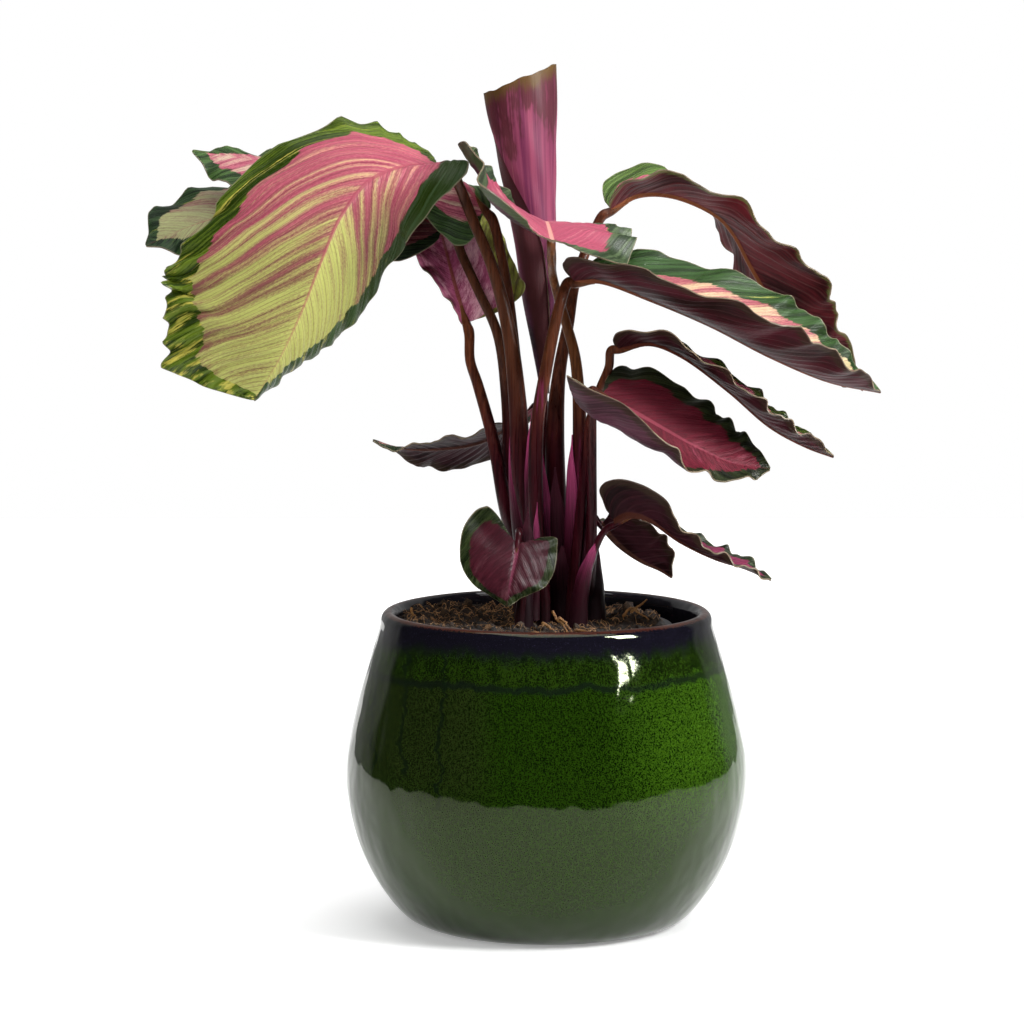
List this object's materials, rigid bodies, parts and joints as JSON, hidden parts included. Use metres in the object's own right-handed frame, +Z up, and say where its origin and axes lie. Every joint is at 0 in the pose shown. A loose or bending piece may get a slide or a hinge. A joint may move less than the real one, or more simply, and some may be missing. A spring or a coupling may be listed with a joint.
{
  "type": "potted calathea",
  "caption": "Leafy prayer plant with rosy, green-edged leaves, wine-red undersides and a rolled new leaf, standing in a round green glazed pot.",
  "frame": {"origin": "on the floor under the middle of the glazed pot", "axes": "+Z up, +X to the right as seen from the front of the picture, +Y away from the viewer"},
  "size_m": [0.3313, 0.1812, 0.3875],
  "materials": {
    "glaze": "gloss",
    "pot_plastic": "satin",
    "peat": "matte",
    "leaf": "satin",
    "rolled_leaf": "satin",
    "stalk": "satin"
  },
  "bodies": {
    "root": {"glazed_pot": "glaze", "growers_pot": "pot_plastic", "soil": "peat", "blade_front_left": "leaf", "stem_front_left": "stalk", "blade_back_left_low": "leaf", "stem_back_left_low": "stalk", "blade_back_left_high": "leaf", "stem_back_left_high": "stalk", "blade_rear_upright": "leaf", "stem_rear_upright": "stalk", "blade_centre_flat": "leaf", "stem_centre_flat": "stalk", "blade_right_long": "leaf", "stem_right_long": "stalk", "blade_right_arching": "leaf", "stem_right_arching": "stalk", "blade_right_narrow": "leaf", "stem_right_narrow": "stalk", "blade_right_crimson": "leaf", "stem_right_crimson": "stalk", "blade_right_low": "leaf", "stem_right_low": "stalk", "blade_right_small": "leaf", "stem_right_small": "stalk", "blade_front_heart": "leaf", "stem_front_heart": "stalk", "blade_left_small": "leaf", "stem_left_small": "stalk", "blade_rolled_new": "rolled_leaf", "stem_rolled_new": "stalk"}
  },
  "joints": []
}
